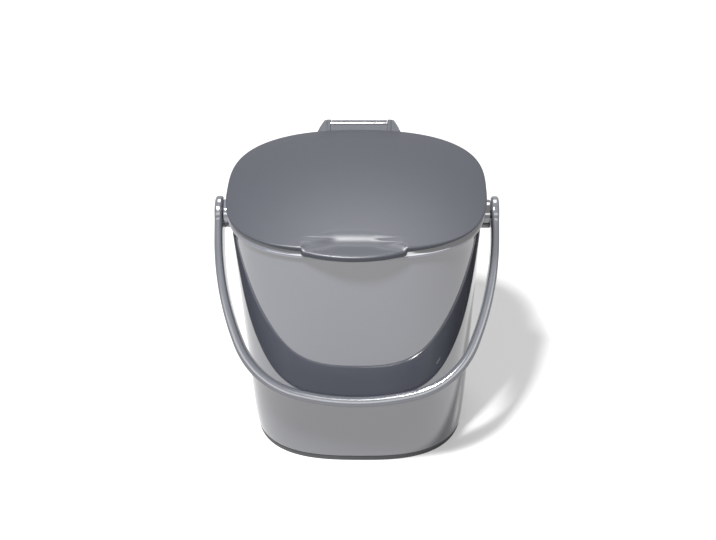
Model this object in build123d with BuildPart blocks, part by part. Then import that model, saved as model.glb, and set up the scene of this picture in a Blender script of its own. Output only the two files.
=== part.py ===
"""Counter-top compost caddy: tapered bucket, hinged domed lid and a swinging bail handle.

Millimetres, +Z up, front towards -Y. The origin is on the table, under the middle of the bucket.
"""

import os
from math import asin, atan, atan2, cos, hypot, pi, radians, sin, tan

from build123d import *

# Driving dimensions: bucket
outline_exponent = 2.8
outline_points = 24
mouth_half_width = 105.1
mouth_half_depth = 92.7
base_half_width = 93.7
base_half_depth = 83.6
rim_top = 224.2
wall = 2.3
floor_thickness = 4.4
tuck_height = 31.0
tuck_inset = 1.0
base_edge_radius = 1.6
floor_corner_radius = 8.0
rim_bead_height = 6.0
rim_bead_overhang = 1.5

# Driving dimensions: foot ring
foot_height = 5.0
foot_setback = 0.8
foot_width = 7.0
foot_edge_radius = 0.9
foot_tongue_width = 2.4
foot_tongue_height = 2.0

# Driving dimensions: lid
lid_overhang = 2.8
lid_gap = 0.9
lid_wall = 2.4
lid_skirt = 6.0
lid_dome_rise = 7.6
lid_shoulder_radius = 2.8
lid_edge_radius = 0.9
liner_thickness = 1.8
plug_depth = 9.0
plug_clearance = 1.5
seal_height = 3.0
seal_below_skirt = 3.5
seal_groove_depth = 0.9
seal_clearance = 0.3

# Driving dimensions: front tab of the lid
tab_half_width = 42.5
tab_reach = 8.0
tab_side_reach = 1.4
tab_top_above_skirt = 2.6
tab_flat_depth = 10.5
tab_lip_height = 4.8
tab_lip_width = 2.8
tab_rim_gap = 0.8
tab_corner_radius = 3.0
tab_edge_radius = 0.8
scoop_slope = 50.0
scoop_blend_radius = 4.0

# Driving dimensions: lid hinge
hinge_behind_lid = 10.2
hinge_above_rim = 7.0
rod_radius = 2.0
rod_exposed_half = 25.2
rod_embed = 3.2
arm_thickness = 3.8
arm_radius = 3.6
arm_root_half_width = 36.6
ramp_height = 4.0
ramp_slope = 30.0
ramp_gap = 0.6
cradle_wall = 1.5
cradle_side_gap = 0.5
cradle_front_lip = -20.0
cradle_rear_lip = 110.0
running_clearance = 0.05
bracket_drop = 26.0
bracket_ribs = 4
bracket_rib_thickness = 2.6
bracket_root_below_rim = 1.2
rib_touch_angle = 60.0

# Driving dimensions: bail handle and its pivots
pivot_height = 203.0
bail_half_width = 118.9
bail_side_thickness = 6.8
bail_grip_thickness = 9.0
bail_depth = 28.0
bail_straight = 21.0
bail_side_radius = 246.0
bail_side_turn = 21.8
bail_corner_radius = 73.8
bail_corner_turn = 54.2
bail_edge_radius = 3.0
bail_wall_gap = 0.4
ear_radius = 15.0
ear_edge_radius = 2.4
boss_radius = 12.0
boss_edge_radius = 0.8
ear_boss_gap = 0.4
stud_radius = 4.0
stud_embed = 5.6
stud_head_radius = 7.6
stud_head_thickness = 2.4
stud_head_edge_radius = 0.6
stud_head_clearance = 0.2


def outline_face(height, half_width, half_depth):
    """One level of the rounded-square plan: a superellipse drawn as a single closed curve."""
    points = []
    for step in range(outline_points):
        turn = 2 * pi * step / outline_points
        across = abs(cos(turn) / half_width) ** outline_exponent
        along = abs(sin(turn) / half_depth) ** outline_exponent
        reach = (across + along) ** (-1 / outline_exponent)
        points.append((reach * cos(turn), reach * sin(turn)))
    with BuildSketch(Plane.XY.offset(height)) as level:
        with BuildLine():
            Spline(*points, periodic=True)
        make_face()
    return level.sketch


def ring(bottom, top, half_width, half_depth, width):
    """An upright ring of even width whose outside follows the plan outline."""
    with BuildPart() as band:
        extrude(outline_face(bottom, half_width, half_depth), top - bottom)
        inside = outline_face(bottom, half_width - width, half_depth - width)
        extrude(inside, top - bottom, mode=Mode.SUBTRACT)
    return band.part


def wall_half_sizes(height, inset=0.0):
    """Half width and half depth of the outer wall at a height, drawn in by an inset."""
    share = (height - foot_height) / (rim_top - foot_height)
    below = max(0.0, 1 - (height - foot_height) / tuck_height)
    drawn_in = inset + tuck_inset * below**2
    half_width = base_half_width + (mouth_half_width - base_half_width) * share - drawn_in
    half_depth = base_half_depth + (mouth_half_depth - base_half_depth) * share - drawn_in
    return half_width, half_depth


def tapered_solid(bottom, top, inset, bottom_edge_radius):
    """The bucket's tapered form between two heights, tucked in towards the foot."""
    tuck_top = foot_height + tuck_height
    levels = (bottom, (bottom + tuck_top) / 2, tuck_top)
    with BuildPart() as form:
        loft([outline_face(z, *wall_half_sizes(z, inset)) for z in levels])
        loft([outline_face(z, *wall_half_sizes(z, inset)) for z in (tuck_top, top)])
        fillet(form.faces().sort_by(Axis.Z)[0].edges(), bottom_edge_radius)
    return form.part


def pivot_plane(side, distance):
    """A plane across the handle's axis, facing the bucket, at a distance to one side."""
    return Plane((side * distance, 0, pivot_height), x_dir=(0, 1, 0), z_dir=(-side, 0, 0))


os.makedirs("parts", exist_ok=True)

# Places worked out from the driving dimensions
mouth_inner_half_width, mouth_inner_half_depth = wall_half_sizes(rim_top, wall)
skirt_bottom = rim_top + lid_gap
lid_half_width = mouth_half_width + lid_overhang
lid_half_depth = mouth_half_depth + lid_overhang
hinge_y = lid_half_depth + hinge_behind_lid
hinge_z = rim_top + hinge_above_rim
hinge_point = (hinge_y, hinge_z)
cradle_radius = rod_radius + running_clearance + cradle_wall
cradle_half_width = rod_exposed_half - cradle_side_gap
arm_outer = rod_exposed_half + arm_thickness
ear_inner_face = bail_half_width - bail_side_thickness
boss_face = ear_inner_face - ear_boss_gap

# Bucket: tapered wall with a tucked foot, beaded rim, pivot bosses and the lid's hinge bracket
floor_top = foot_height + floor_thickness
cavity = tapered_solid(floor_top, rim_top + wall, wall, floor_corner_radius)
bead_bottom = rim_top - rim_bead_height
bead_sizes = wall_half_sizes(rim_top, -rim_bead_overhang)
with BuildPart() as bead:
    extrude(outline_face(bead_bottom, *bead_sizes), rim_bead_height)
    fillet(bead.edges(), rim_bead_overhang)

rib_spacing = (2 * cradle_half_width - bracket_rib_thickness) / (bracket_ribs - 1)
rib_foot = rim_top - bracket_drop
rib_root = rim_top - bracket_root_below_rim
touch_across = cradle_radius * cos(radians(rib_touch_angle))
touch_down = cradle_radius * sin(radians(rib_touch_angle))
with BuildPart() as bracket:
    with BuildSketch(Plane.YZ):
        with Locations(hinge_point):
            Circle(cradle_radius)
            Circle(rod_radius + running_clearance, mode=Mode.SUBTRACT)
        reach = 2 * cradle_radius
        with BuildLine():
            Polyline(
                hinge_point,
                *[
                    (hinge_y - reach * cos(radians(lip)), hinge_z + reach * sin(radians(lip)))
                    for lip in (cradle_front_lip, (cradle_front_lip + cradle_rear_lip) / 2, cradle_rear_lip)
                ],
                close=True,
            )
        make_face(mode=Mode.SUBTRACT)
    extrude(amount=cradle_half_width, both=True)
    for rib in range(bracket_ribs):
        rib_middle = -cradle_half_width + bracket_rib_thickness / 2 + rib * rib_spacing
        with BuildSketch(Plane.YZ.offset(rib_middle)):
            with BuildLine():
                Polyline(
                    (wall_half_sizes(rib_foot)[1] - wall / 2, rib_foot),
                    (wall_half_sizes(rib_root)[1] - wall / 2, rib_root),
                    (lid_half_depth + rim_bead_overhang, rib_root),
                    (hinge_y - touch_across, hinge_z - touch_down),
                    (hinge_y + cradle_radius - cradle_wall / 2, hinge_z),
                    (hinge_y + cradle_wall, hinge_z - 2 * cradle_radius),
                    close=True,
                )
            make_face()
            with Locations(hinge_point):
                Circle(rod_radius + running_clearance, mode=Mode.SUBTRACT)
        extrude(amount=bracket_rib_thickness / 2, both=True)

foot_sizes = [size - foot_setback for size in wall_half_sizes(foot_height)]
groove_sizes = [size - (foot_width - foot_tongue_width) / 2 for size in foot_sizes]
tongue_top = foot_height + foot_tongue_height
tongue = ring(foot_height - foot_tongue_height, tongue_top, *groove_sizes, foot_tongue_width)
with BuildPart() as bucket:
    add(tapered_solid(foot_height, bead_bottom, 0.0, base_edge_radius))
    add(bead.part)
    for side in (-1, 1):
        with BuildSketch(pivot_plane(side, boss_face)):
            Circle(boss_radius)
        extrude(amount=boss_face - mouth_inner_half_width + wall)
        boss_ends = bucket.edges().filter_by(GeomType.CIRCLE)
        fillet(boss_ends.filter_by_position(Axis.X, side * boss_face, side * boss_face), boss_edge_radius)
    add(bracket.part)
    add(cavity, mode=Mode.SUBTRACT)
    for side in (-1, 1):
        with BuildSketch(pivot_plane(side, boss_face)):
            Circle(stud_radius)
        extrude(amount=stud_embed, mode=Mode.SUBTRACT)
    add(tongue, mode=Mode.SUBTRACT)
bucket.part.label = "bucket"
export_step(bucket.part, "parts/bucket.step")

# Foot ring: soft ring with a tongue pressed into the groove under the base
with BuildPart() as foot_ring:
    add(ring(0, foot_height, *foot_sizes, foot_width))
    fillet(foot_ring.edges().group_by(Axis.Z)[0], foot_edge_radius)
    add(ring(foot_height, tongue_top, *groove_sizes, foot_tongue_width))
foot_ring.part.label = "foot_ring"
export_step(foot_ring.part, "parts/foot_ring.step")

# Bail studs: headed pins pressed into the bosses, their heads flush in the handle's ears
with BuildPart() as bail_stud_right:
    head_face = bail_half_width - stud_head_clearance
    with BuildSketch(pivot_plane(1, head_face)):
        Circle(stud_radius)
    extrude(amount=head_face - boss_face + stud_embed)
    with BuildSketch(pivot_plane(1, head_face)):
        Circle(stud_head_radius)
    extrude(amount=stud_head_thickness)
    fillet(bail_stud_right.edges().sort_by(Axis.X)[-1], stud_head_edge_radius)
with BuildPart() as bail_stud_left:
    add(mirror(bail_stud_right.part, Plane.YZ))
for side, stud in (("right", bail_stud_right), ("left", bail_stud_left)):
    stud.part.label = "bail_stud_" + side
    export_step(stud.part, "parts/" + stud.part.label + ".step")

# Bail handle: a bowed strap between two round ears, leaning on the front of the bucket
wall_lean = atan((mouth_half_depth - base_half_depth) / (rim_top - foot_height))


def half_profile(thickness, lift):
    """Radii and heights of the bow's half outline, a given thickness inside the outer one."""
    start = (bail_half_width - thickness, -bail_straight + lift)
    side = bail_side_radius - thickness
    corner = bail_corner_radius - thickness
    side_end = radians(bail_side_turn)
    corner_end = radians(bail_side_turn + bail_corner_turn)
    across = start[0] - side * (1 - cos(side_end)) - corner * (cos(side_end) - cos(corner_end))
    bottom = across / cos(corner_end)
    depth = -start[1] + side * sin(side_end) + corner * (sin(corner_end) - sin(side_end))
    return start, side, corner, bottom, depth + bottom * (1 - sin(corner_end))


outer_bow = half_profile(0.0, 0.0)
inner_bow = half_profile(bail_side_thickness, bail_grip_thickness - bail_side_thickness)
inner_reach = inner_bow[-1]
contact_out = inner_reach + bail_edge_radius
contact_back = -(bail_depth / 2 - bail_edge_radius)
contact_angle = asin(
    (bail_wall_gap + bail_edge_radius + wall_half_sizes(pivot_height)[1] * cos(wall_lean))
    / hypot(contact_out, contact_back)
)
rest_angle = contact_angle - atan2(contact_back, contact_out) - wall_lean
bow_plane = Plane((0, 0, pivot_height), x_dir=(1, 0, 0), z_dir=(0, -cos(rest_angle), sin(rest_angle)))
print("bail hangs", round(rest_angle * 180 / pi, 3), "degrees forward; reach", round(outer_bow[-1], 2))


def bow_face(start, side, corner, bottom):
    """Area inside one outline of the bow, drawn as straight sides and tangent arcs."""
    with BuildSketch() as area:
        with BuildLine() as half:
            straight = Line((start[0], 0), start)
            side_arc = JernArc(straight @ 1, straight % 1, side, -bail_side_turn)
            corner_arc = JernArc(side_arc @ 1, side_arc % 1, corner, -bail_corner_turn)
            remaining = 90 - bail_side_turn - bail_corner_turn
            JernArc(corner_arc @ 1, corner_arc % 1, bottom, -remaining)
            mirror(about=Plane.YZ)
            Line((start[0], 0), (-start[0], 0))
        make_face()
    return area.sketch


with BuildPart() as bow:
    with BuildSketch(bow_plane):
        add(bow_face(*outer_bow[:4]))
        add(bow_face(*inner_bow[:4]), mode=Mode.SUBTRACT)
    extrude(amount=bail_depth / 2, both=True)
    fillet(bow.edges(), bail_edge_radius)

with BuildPart() as ear:
    with BuildSketch(pivot_plane(1, bail_half_width)):
        Circle(ear_radius)
    extrude(amount=bail_side_thickness)
    fillet(ear.edges().filter_by(GeomType.CIRCLE), ear_edge_radius)

with BuildPart() as bail_handle:
    add(bow.part)
    add(ear.part)
    add(mirror(ear.part, Plane.YZ))
    for side in (-1, 1):
        with BuildSketch(pivot_plane(side, bail_half_width)):
            Circle(stud_radius + running_clearance)
        extrude(amount=bail_side_thickness, mode=Mode.SUBTRACT)
        with BuildSketch(pivot_plane(side, bail_half_width)):
            Circle(stud_head_radius + stud_head_clearance)
        extrude(amount=stud_head_thickness + 2 * stud_head_clearance, mode=Mode.SUBTRACT)
bail_handle.part.label = "bail_handle"
export_step(bail_handle.part, "parts/bail_handle.step")

# Lid cover: domed shell with a scooped finger tab in front and a hinge ramp with two arms behind
skirt_top = skirt_bottom + lid_skirt
apex = skirt_top + lid_dome_rise
dome_radius = (lid_half_depth**2 + lid_dome_rise**2) / (2 * lid_dome_rise)
tab_top = skirt_bottom + tab_top_above_skirt
tab_bottom = tab_top - tab_lip_height
scoop_corner = lid_half_depth - tab_flat_depth


def domed_block(drop):
    """The lid's outer form, or with a drop its hollow: plan outline under a shallow dome."""
    with BuildPart() as block:
        extrude(outline_face(skirt_bottom, lid_half_width - drop, lid_half_depth - drop), apex - skirt_bottom)
        with BuildSketch(Plane.XZ):
            with Locations((0, apex - drop - dome_radius)):
                Circle(dome_radius)
                left_half = (Align.MAX, Align.CENTER)
                Rectangle(2 * dome_radius, 4 * dome_radius, align=left_half, mode=Mode.SUBTRACT)
        revolve(axis=Axis.Z, mode=Mode.INTERSECT)
    return block


def scoop_block(setback, bottom, half_width, blend):
    """The space above the tab: flat below, sloping up into the dome behind."""
    height = apex - bottom
    with BuildPart() as block:
        with BuildSketch(Plane.YZ) as side_view:
            with BuildLine():
                Polyline(
                    (-lid_half_depth - 2 * tab_reach, bottom),
                    (-scoop_corner + setback, bottom),
                    (-scoop_corner + setback + height / tan(radians(scoop_slope)), apex),
                    (-lid_half_depth - 2 * tab_reach, apex),
                    close=True,
                )
            make_face()
            if blend:
                fillet(side_view.vertices().group_by(Axis.Y)[1], scoop_blend_radius)
        extrude(amount=half_width, both=True)
    return block.part


def tab_face(height, setback):
    """Plan of the tab: short straight sides and a bowed front edge."""
    side_y = -lid_half_depth - tab_side_reach + tab_corner_radius
    with BuildSketch(Plane.XY.offset(height)) as plan:
        with BuildLine():
            front = ThreePointArc(
                (-tab_half_width, side_y + setback),
                (0, -lid_half_depth - tab_reach + setback),
                (tab_half_width, side_y + setback),
            )
            Polyline(front @ 1, (tab_half_width, -scoop_corner), (-tab_half_width, -scoop_corner), front @ 0)
        make_face()
    return plan.sketch


with BuildPart() as tab:
    extrude(tab_face(tab_bottom, 0), tab_top - tab_bottom)
    fillet(tab.edges().filter_by(Axis.Z).group_by(Axis.Y)[0], tab_corner_radius)
    fillet(tab.faces().sort_by(Axis.Z)[-1].edges().group_by(Axis.Y)[0], tab_edge_radius)
    extrude(tab_face(tab_bottom, tab_lip_width), skirt_bottom - tab_bottom, mode=Mode.SUBTRACT)
    clear_of_bead = outline_face(tab_bottom, *[size + tab_rim_gap for size in bead_sizes])
    extrude(clear_of_bead, skirt_bottom - tab_bottom, mode=Mode.SUBTRACT)

ramp_front = lid_half_depth - lid_wall / 2
ramp_back = hinge_y - cradle_radius - ramp_gap
arm_across = arm_radius * sin(radians(ramp_slope))
arm_up = arm_radius * cos(radians(ramp_slope))
with BuildPart() as ramp:
    with BuildSketch(Plane.YZ):
        with BuildLine():
            Polyline(
                (ramp_front, skirt_bottom),
                (lid_half_depth + lid_edge_radius, skirt_bottom),
                (hinge_y + arm_across, hinge_z - arm_up),
                (hinge_y - arm_across, hinge_z + arm_up),
                (ramp_front, skirt_bottom + ramp_height),
                close=True,
            )
        make_face()
        with Locations(hinge_point):
            Circle(arm_radius)
    extrude(amount=arm_root_half_width, both=True)
    with BuildSketch(Plane.XY.offset(skirt_bottom)):
        with BuildLine():
            Polyline(
                (-arm_root_half_width, ramp_front),
                (arm_root_half_width, ramp_front),
                (arm_root_half_width, lid_half_depth),
                (arm_outer, hinge_y + arm_radius),
                (-arm_outer, hinge_y + arm_radius),
                (-arm_root_half_width, lid_half_depth),
                close=True,
            )
        make_face()
    extrude(amount=hinge_z + arm_radius - skirt_bottom, mode=Mode.INTERSECT)
    with BuildSketch(Plane.XY.offset(skirt_bottom)):
        with Locations((0, ramp_back)):
            Rectangle(2 * rod_exposed_half, hinge_y, align=(Align.CENTER, Align.MIN))
    extrude(amount=apex - skirt_bottom, mode=Mode.SUBTRACT)

dome = domed_block(0)
with dome:
    rim_edges = dome.faces().filter_by(GeomType.SPHERE).edges()
    fillet(rim_edges, lid_shoulder_radius)
hollow = domed_block(lid_wall)
with hollow:
    add(scoop_block(lid_wall, skirt_bottom, tab_half_width + lid_wall, False), mode=Mode.SUBTRACT)
with BuildPart() as lid_cover:
    add(dome.part)
    add(scoop_block(0, tab_top, tab_half_width, True), mode=Mode.SUBTRACT)
    add(hollow.part, mode=Mode.SUBTRACT)
    add(tab.part)
    add(ramp.part)
    with BuildSketch(Plane.YZ):
        with Locations(hinge_point):
            Circle(rod_radius)
    extrude(amount=rod_exposed_half + rod_embed, both=True, mode=Mode.SUBTRACT)
lid_cover.part.label = "lid_cover"
export_step(lid_cover.part, "parts/lid_cover.step")

# Hinge rod: plain round bar pressed into both arms and snapped into the bucket's cradle
with BuildPart() as hinge_rod:
    with BuildSketch(Plane.YZ):
        with Locations(hinge_point):
            Circle(rod_radius)
    extrude(amount=rod_exposed_half + rod_embed, both=True)
hinge_rod.part.label = "hinge_rod"
export_step(hinge_rod.part, "parts/hinge_rod.step")

# Lid liner: flat inner panel with a plug wall that drops into the mouth
plug_sizes = (mouth_inner_half_width - plug_clearance, mouth_inner_half_depth - plug_clearance)
seal_top = skirt_bottom - seal_below_skirt
groove_bottom = seal_top - seal_height
with BuildPart() as lid_liner:
    extrude(outline_face(skirt_bottom, lid_half_width - lid_wall, lid_half_depth - lid_wall), liner_thickness)
    add(hollow.part, mode=Mode.INTERSECT)
    add(ring(skirt_bottom - plug_depth, skirt_bottom, *plug_sizes, 2 * liner_thickness))
    seat_sizes = [size - seal_groove_depth for size in plug_sizes]
    add(ring(groove_bottom, seal_top, *plug_sizes, seal_groove_depth), mode=Mode.SUBTRACT)
lid_liner.part.label = "lid_liner"
export_step(lid_liner.part, "parts/lid_liner.step")

# Lid seal: soft ring in the plug's groove, just clear of the bucket's wall
seal_sizes = [size - seal_clearance for size in wall_half_sizes(groove_bottom, wall)]
seal_width = seal_sizes[0] - seat_sizes[0]
with BuildPart() as lid_seal:
    add(ring(groove_bottom, seal_top, *seal_sizes, seal_width))
lid_seal.part.label = "lid_seal"
export_step(lid_seal.part, "parts/lid_seal.step")
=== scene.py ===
"""Looks of a counter-top compost caddy with a hinged lid and a swinging bail handle.

Sizes in the classes are millimetres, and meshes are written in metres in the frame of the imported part:
+Z up, front towards -Y, origin on the table under the middle of the bucket.
"""

from __future__ import annotations

import logging
import math
from dataclasses import dataclass, field
from enum import Enum

import bmesh
import bpy
from mathutils import Matrix, Vector

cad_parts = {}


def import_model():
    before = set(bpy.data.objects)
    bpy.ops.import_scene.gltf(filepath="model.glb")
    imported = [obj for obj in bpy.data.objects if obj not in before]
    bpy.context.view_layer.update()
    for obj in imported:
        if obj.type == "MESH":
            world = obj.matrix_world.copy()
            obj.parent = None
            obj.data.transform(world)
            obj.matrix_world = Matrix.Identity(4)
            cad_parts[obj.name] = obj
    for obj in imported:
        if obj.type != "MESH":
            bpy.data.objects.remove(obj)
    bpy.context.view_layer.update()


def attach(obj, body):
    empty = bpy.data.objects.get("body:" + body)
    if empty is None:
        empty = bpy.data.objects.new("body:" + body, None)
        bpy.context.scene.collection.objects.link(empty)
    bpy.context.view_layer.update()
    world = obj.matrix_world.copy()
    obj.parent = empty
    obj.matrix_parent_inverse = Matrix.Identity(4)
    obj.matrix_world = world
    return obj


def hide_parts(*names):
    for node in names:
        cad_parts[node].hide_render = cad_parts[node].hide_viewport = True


LOG = logging.getLogger("caddy")
MM = 0.001
SHARP_ANGLE = math.radians(38)

Point2 = tuple[float, float]
Point3 = tuple[float, float, float]


# ---------------------------------------------------------------------------------------------------------
# Shape helpers
# ---------------------------------------------------------------------------------------------------------


@dataclass(frozen=True)
class Plan:
    """Rounded-square plan that every level of the bucket and the lid shares."""

    exponent: float = 2.8
    steps: int = 240

    def reach(self, turn: float, half_width: float, half_depth: float) -> float:
        """Distance from the middle to the outline.

        Args:
            turn: Direction from +X, in radians.
            half_width: Half size along X.
            half_depth: Half size along Y.

        Returns:
            The distance, in the unit of the half sizes.
        """
        across = abs(math.cos(turn) / half_width) ** self.exponent
        along = abs(math.sin(turn) / half_depth) ** self.exponent
        return (across + along) ** (-1 / self.exponent)

    def depth_at(self, across: float, half_width: float, half_depth: float) -> float:
        """Half depth of the outline at a distance to one side of its middle.

        Args:
            across: Distance from the middle along X.
            half_width: Half size along X.
            half_depth: Half size along Y.

        Returns:
            The distance along Y from the middle to the outline there.
        """
        share = min(1.0, abs(across) / half_width) ** self.exponent
        return half_depth * (1 - share) ** (1 / self.exponent)


PLAN = Plan()


def blend(a: float, b: float, share: float) -> float:
    """The value a share of the way from a to b."""
    return a + (b - a) * share


def ease(value: float) -> float:
    """Smooth step of a value held between 0 and 1."""
    held = min(1.0, max(0.0, value))
    return held * held * (3 - 2 * held)


def spread(first: float, last: float, count: int) -> list[float]:
    """Evenly spaced values from first to last, both included."""
    return [blend(first, last, step / (count - 1)) for step in range(count)]


def rounded_path(corners: list[tuple[Point2, float]], arc_steps: int, line_steps: int) -> list[Point2]:
    """A path through corners, each rounded by an arc, with as many points whatever the sizes.

    Args:
        corners: Each corner's point and radius. The first and last radius isn't used.
        arc_steps: Points along each arc.
        line_steps: Points added between two arcs.

    Returns:
        The points of the path from the first corner to the last.
    """
    path: list[Point2] = [corners[0][0]]
    for before, (corner, radius), after in zip(corners, corners[1:], corners[2:]):
        point, back, ahead = Vector(corner), Vector(before[0]), Vector(after[0])
        inward, outward = (back - point), (ahead - point)
        angle = inward.angle(outward) if inward.length and outward.length else math.pi
        cut = min(radius / math.tan(angle / 2), inward.length / 2.02, outward.length / 2.02)
        start, end = point + inward.normalized() * cut, point + outward.normalized() * cut
        last = Vector(path[-1])
        path += [tuple(last.lerp(start, step / (line_steps + 1))) for step in range(1, line_steps + 1)]
        if math.pi - angle < 1e-3 or cut < 1e-6:
            path += [tuple(start.lerp(end, share)) for share in spread(0, 1, arc_steps)]
            continue
        middle = point + (inward.normalized() + outward.normalized()).normalized() * cut / math.cos(angle / 2)
        first, final = start - middle, end - middle
        turn = first.angle_signed(final)
        for share in spread(0, 1, arc_steps):
            spun = Matrix.Rotation(-turn * share, 2) @ first
            path.append(tuple(middle + spun))
    last, end = Vector(path[-1]), Vector(corners[-1][0])
    path += [tuple(last.lerp(end, step / (line_steps + 1))) for step in range(1, line_steps + 2)]
    return path


def grid_faces(rows: int, columns: int, loop_rows: bool, loop_columns: bool) -> list[tuple[int, ...]]:
    """Quads between the points of a grid that is stored row by row.

    Args:
        rows: Number of rows.
        columns: Points in each row.
        loop_rows: Whether the last row joins the first.
        loop_columns: Whether each row closes on itself.

    Returns:
        Vertex numbers of each quad.
    """
    faces = []
    for row in range(rows if loop_rows else rows - 1):
        below, above = row * columns, (row + 1) % rows * columns
        for column in range(columns if loop_columns else columns - 1):
            beside = (column + 1) % columns
            faces.append((below + column, below + beside, above + beside, above + column))
    return faces


def make_object(name: str, points: list[Point3], faces: list[tuple[int, ...]]) -> bpy.types.Object:
    """A mesh object from points in millimetres, its doubles merged and its faces turned outwards.

    Args:
        name: Name of the piece.
        points: Its vertices, in millimetres.
        faces: Vertex numbers of each face.

    Returns:
        The object, at the origin.
    """
    mesh = bpy.data.meshes.new(name)
    mesh.from_pydata([tuple(value * MM for value in point) for point in points], [], faces)
    piece = bpy.data.objects.new(name, mesh)
    bpy.context.scene.collection.objects.link(piece)
    clean_mesh(piece)
    return piece


def clean_mesh(piece: bpy.types.Object, merge: float = 2e-6) -> None:
    """Merges doubles, turns the faces outwards and shades smooth up to the sharp angle.

    Args:
        piece: A mesh object.
        merge: Distance within which vertices are one, in metres.
    """
    form = bmesh.new()
    form.from_mesh(piece.data)
    bmesh.ops.remove_doubles(form, verts=form.verts, dist=merge)
    bmesh.ops.dissolve_degenerate(form, edges=form.edges, dist=merge / 4)
    bmesh.ops.recalc_face_normals(form, faces=form.faces)
    if form.calc_volume(signed=True) < 0:
        bmesh.ops.reverse_faces(form, faces=form.faces)
    for face in form.faces:
        face.smooth = True
    for edge in form.edges:
        edge.smooth = len(edge.link_faces) == 2 and edge.calc_face_angle(0.0) < SHARP_ANGLE
    form.to_mesh(piece.data)
    form.free()


def tube_between(name: str, sections: list[list[Point3]]) -> bpy.types.Object:
    """A closed solid through sections of as many points each, capped at both ends."""
    columns = len(sections[0])
    points = [point for section in sections for point in section]
    faces = grid_faces(len(sections), columns, False, True)
    faces.append(tuple(range(columns - 1, -1, -1)))
    faces.append(tuple(range(len(points) - columns, len(points))))
    return make_object(name, points, faces)


def turned(name: str, profile: list[Point2], centre: Point3, side: int, steps: int = 64) -> bpy.types.Object:
    """A solid turned about an axis along X.

    Args:
        name: Name of the piece.
        profile: (distance along X, radius) pairs. A closed ring section if its ends meet, else from pole to pole.
        centre: A point on the axis, from which distances along X are measured.
        side: 1 or -1, the way along X.
        steps: Points round the axis.

    Returns:
        The closed mesh object.
    """
    closed = profile[0] == profile[-1]
    rows = profile[:-1] if closed else profile
    points = []
    for along, radius in rows:
        for step in range(steps):
            turn = 2 * math.pi * step / steps
            points.append(
                (
                    centre[0] + side * along,
                    centre[1] + max(radius, 1e-6) * math.cos(turn),
                    centre[2] + max(radius, 1e-6) * math.sin(turn),
                )
            )
    return make_object(name, points, grid_faces(len(rows), steps, closed, True))


def join(name: str, pieces: list[bpy.types.Object]) -> bpy.types.Object:
    """One mesh object made of several, which are removed."""
    form = bmesh.new()
    for piece in pieces:
        form.from_mesh(piece.data)
    mesh = bpy.data.meshes.new(name)
    for piece in pieces:
        bpy.data.objects.remove(piece)
    form.to_mesh(mesh)
    form.free()
    whole = bpy.data.objects.new(name, mesh)
    bpy.context.scene.collection.objects.link(whole)
    return whole


class Cut(Enum):
    """What a boolean does with the second solid."""

    ADD = "UNION"
    TAKE_AWAY = "DIFFERENCE"


def boolean(piece: bpy.types.Object, other: bpy.types.Object, cut: Cut) -> None:
    """Adds another solid to a piece or takes it away, and removes the other.

    Args:
        piece: The mesh object that is changed.
        other: The solid that is added or taken away.
        cut: Which of the two.
    """
    modifier = piece.modifiers.new("cut", "BOOLEAN")
    modifier.operation = cut.value
    modifier.solver = "EXACT"
    modifier.object = other
    bake_modifiers(piece)
    bpy.data.objects.remove(other)
    clean_mesh(piece)


def bake_modifiers(piece: bpy.types.Object) -> None:
    """Turns the evaluated object into its plain mesh and removes its modifiers."""
    graph = bpy.context.evaluated_depsgraph_get()
    graph.update()
    baked = bpy.data.meshes.new_from_object(piece.evaluated_get(graph))
    piece.modifiers.clear()
    piece.data = baked
    piece.data.name = piece.name


# ---------------------------------------------------------------------------------------------------------
# Node trees
# ---------------------------------------------------------------------------------------------------------


class Nodes:
    """Adds nodes to a tree and links them in the same call."""

    def __init__(self, tree: bpy.types.NodeTree) -> None:
        """Starts on a tree."""
        self.tree = tree

    def add(self, kind: str, inputs: dict | None = None, **settings) -> bpy.types.Node:
        """A node with its settings, and its inputs set or linked.

        Args:
            kind: The node's type.
            inputs: Value or output socket for each input, by name or number.
            **settings: Attributes of the node.

        Returns:
            The node.
        """
        node = self.tree.nodes.new(kind)
        for name, value in settings.items():
            setattr(node, name, value)
        for key, value in (inputs or {}).items():
            self.feed(node.inputs[key], value)
        return node

    def feed(self, socket: bpy.types.NodeSocket, value: object) -> None:
        """Links an output to a socket, or sets the socket to a value."""
        if isinstance(value, bpy.types.NodeSocket):
            self.tree.links.new(value, socket)
        else:
            socket.default_value = value

    def math(self, operation: str, *values: object) -> bpy.types.NodeSocket:
        """The result of a Math node.

        Args:
            operation: The node's operation.
            *values: Its inputs, numbers or sockets.

        Returns:
            The output socket.
        """
        kind = "ShaderNodeMath"
        return self.add(kind, dict(enumerate(values)), operation=operation).outputs[0]


def new_tree(name: str, kind: str, takes: dict[str, str], gives: dict[str, str]) -> tuple[Nodes, dict, bpy.types.Node]:
    """A node group with named sockets.

    Args:
        name: Name of the group.
        kind: Its tree type.
        takes: Socket type of each input, by name.
        gives: Socket type of each output, by name.

    Returns:
        The node adder, the group's input sockets by name, and its output node.
    """
    tree = bpy.data.node_groups.new(name, kind)
    for label, socket in takes.items():
        tree.interface.new_socket(label, in_out="INPUT", socket_type=socket)
    for label, socket in gives.items():
        tree.interface.new_socket(label, in_out="OUTPUT", socket_type=socket)
    nodes = Nodes(tree)
    source = nodes.add("NodeGroupInput")
    return nodes, {label: source.outputs[label] for label in takes}, nodes.add("NodeGroupOutput")


def run_geometry(piece: bpy.types.Object, tree: bpy.types.NodeTree, values: dict[str, object]) -> None:
    """Runs a geometry tree on an object and bakes the result.

    Args:
        piece: The object whose mesh goes into the tree.
        tree: The geometry node group.
        values: Value of each named input.
    """
    modifier = piece.modifiers.new(tree.name, "NODES")
    modifier.node_group = tree
    for item in tree.interface.items_tree:
        if item.in_out == "INPUT" and item.name in values:
            modifier[item.identifier] = values[item.name]
    bake_modifiers(piece)


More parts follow.
